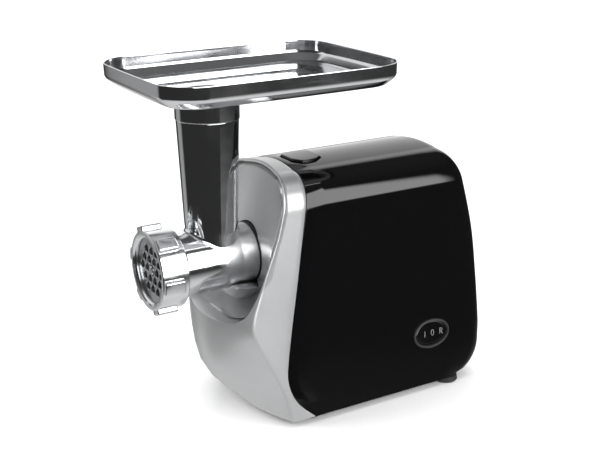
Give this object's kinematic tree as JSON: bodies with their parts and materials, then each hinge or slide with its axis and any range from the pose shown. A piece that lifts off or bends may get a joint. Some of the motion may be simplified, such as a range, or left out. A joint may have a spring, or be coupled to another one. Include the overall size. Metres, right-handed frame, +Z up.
{
  "type": "electric meat grinder",
  "caption": "Upright electric meat grinder: steel tray over a metal feed tube and barrel with ring cap and plate, on a motor base with silver front, black shell, lock button and rocker switch.",
  "frame": {"origin": "centre of the bounding box on the floor plane under the feet", "axes": "-Y the way the barrel points, +Y towards the back of the base, +X the side with the switch, +Z up"},
  "size_m": [0.16, 0.3086, 0.2994],
  "materials": {
    "tray_steel": "mirror-polished stainless sheet",
    "head_aluminium": "polished cast aluminium",
    "cap_aluminium": "polished cast aluminium",
    "plate_steel": "ground tool steel",
    "pin_steel": "turned steel",
    "auger_aluminium": "cast",
    "silver_casing": "satin silver lacquer on moulded plastic",
    "black_shell": "high gloss",
    "matte_black": "fine texture",
    "socket_metal": "bright die-cast",
    "rubber_black": "matt",
    "sintered_steel": "sintered steel",
    "bronze_bush": "sintered bronze",
    "gear_nylon": "moulded nylon",
    "white_nylon": "moulded nylon",
    "copper_winding": "enamelled copper",
    "carbon_brush": "pressed carbon",
    "cast_zinc": "die-cast, unpolished"
  },
  "bodies": {
    "base": {"front_casing": "silver_casing", "main_shell": "black_shell", "base_plate": "matte_black", "socket_collar": "socket_metal", "bayonet_socket": "matte_black", "cord_gland": "rubber_black", "foot_front_left": "rubber_black", "foot_front_right": "rubber_black", "foot_rear_left": "rubber_black", "foot_rear_right": "rubber_black", "base_screw_front_left": "pin_steel", "base_screw_front_right": "pin_steel", "base_screw_rear_left": "pin_steel", "base_screw_rear_right": "pin_steel", "lock_spring": "pin_steel", "switch_bezel": "matte_black", "switch_body": "matte_black", "gearbox_cover": "cast_zinc", "gearbox_housing": "cast_zinc", "spindle_bush_front": "bronze_bush", "spindle_bush_rear": "bronze_bush", "idler_bush_front": "bronze_bush", "idler_bush_rear": "bronze_bush", "motor_front_bracket": "cast_zinc", "motor_rear_bracket": "cast_zinc", "motor_bush_front": "bronze_bush", "motor_bush_rear": "bronze_bush", "motor_stator": "sintered_steel", "field_coil_upper": "copper_winding", "field_coil_lower": "copper_winding", "brush_left": "carbon_brush", "brush_right": "carbon_brush", "motor_cradle": "matte_black"},
    "auger": {"auger": "auger_aluminium", "auger_pin": "pin_steel", "auger_shank": "pin_steel", "auger_bush": "white_nylon", "cross_knife": "plate_steel"},
    "head": {"head_casting": "head_aluminium", "cutting_plate": "plate_steel"},
    "cap": {"ring_cap": "cap_aluminium"},
    "tray": {"tray": "tray_steel", "tray_collar": "tray_steel"},
    "lock": {"lock_button": "black_shell", "latch_plate": "sintered_steel"},
    "rocker": {"switch_rocker": "black_shell"},
    "rotor": {"motor_shaft": "pin_steel", "armature": "copper_winding", "commutator": "copper_winding", "cooling_fan": "white_nylon", "motor_pinion": "sintered_steel"},
    "idler": {"idler_gear": "gear_nylon", "idler_pinion": "sintered_steel"},
    "output": {"output_gear": "sintered_steel", "drive_spindle": "sintered_steel"}
  },
  "joints": [
    {"name": "motor_spin", "type": "hinge", "parent": "base", "child": "rotor", "pos_m": [0, 0.03131, 0.062], "axis": [0, 1, 0], "continuous": true},
    {"name": "idler_spin", "type": "hinge", "parent": "base", "child": "idler", "pos_m": [0.01121, -0.01369, 0.09621], "axis": [0, 1, 0], "continuous": true},
    {"name": "output_spin", "type": "hinge", "parent": "base", "child": "output", "pos_m": [0, -0.01869, 0.1385], "axis": [0, 1, 0], "continuous": true},
    {"name": "auger_spin", "type": "hinge", "parent": "base", "child": "auger", "pos_m": [0, -0.08869, 0.1385], "axis": [0, 1, 0], "continuous": true},
    {"name": "head_turn", "type": "hinge", "parent": "base", "child": "head", "pos_m": [0, -0.04369, 0.1385], "axis": [0, 1, 0], "range_deg": [0, 38]},
    {"name": "cap_turn", "type": "hinge", "parent": "head", "child": "cap", "pos_m": [0, -0.13369, 0.1385], "axis": [0, 1, 0], "range_deg": [-360, 0]},
    {"name": "tray_lift", "type": "slide", "parent": "head", "child": "tray", "axis": [0, 0, 1], "range_m": [0, 0.03]},
    {"name": "lock_press", "type": "slide", "parent": "base", "child": "lock", "axis": [0, 0, -1], "range_m": [0, 0.0035], "stiffness_N_per_m": 800, "springref_m": -0.003, "deforming": ["lock_spring"]},
    {"name": "switch_tilt", "type": "hinge", "parent": "base", "child": "rocker", "pos_m": [0.06065, 0.09271, 0.05218], "axis": [-0.0735, 0, 0.9973], "range_deg": [-8, 8]}
  ],
  "couplings": [
    {"joint": "idler_spin", "follows": "motor_spin", "ratio": -0.14286},
    {"joint": "output_spin", "follows": "motor_spin", "ratio": 0.02381},
    {"joint": "auger_spin", "follows": "motor_spin", "ratio": 0.02381}
  ]
}
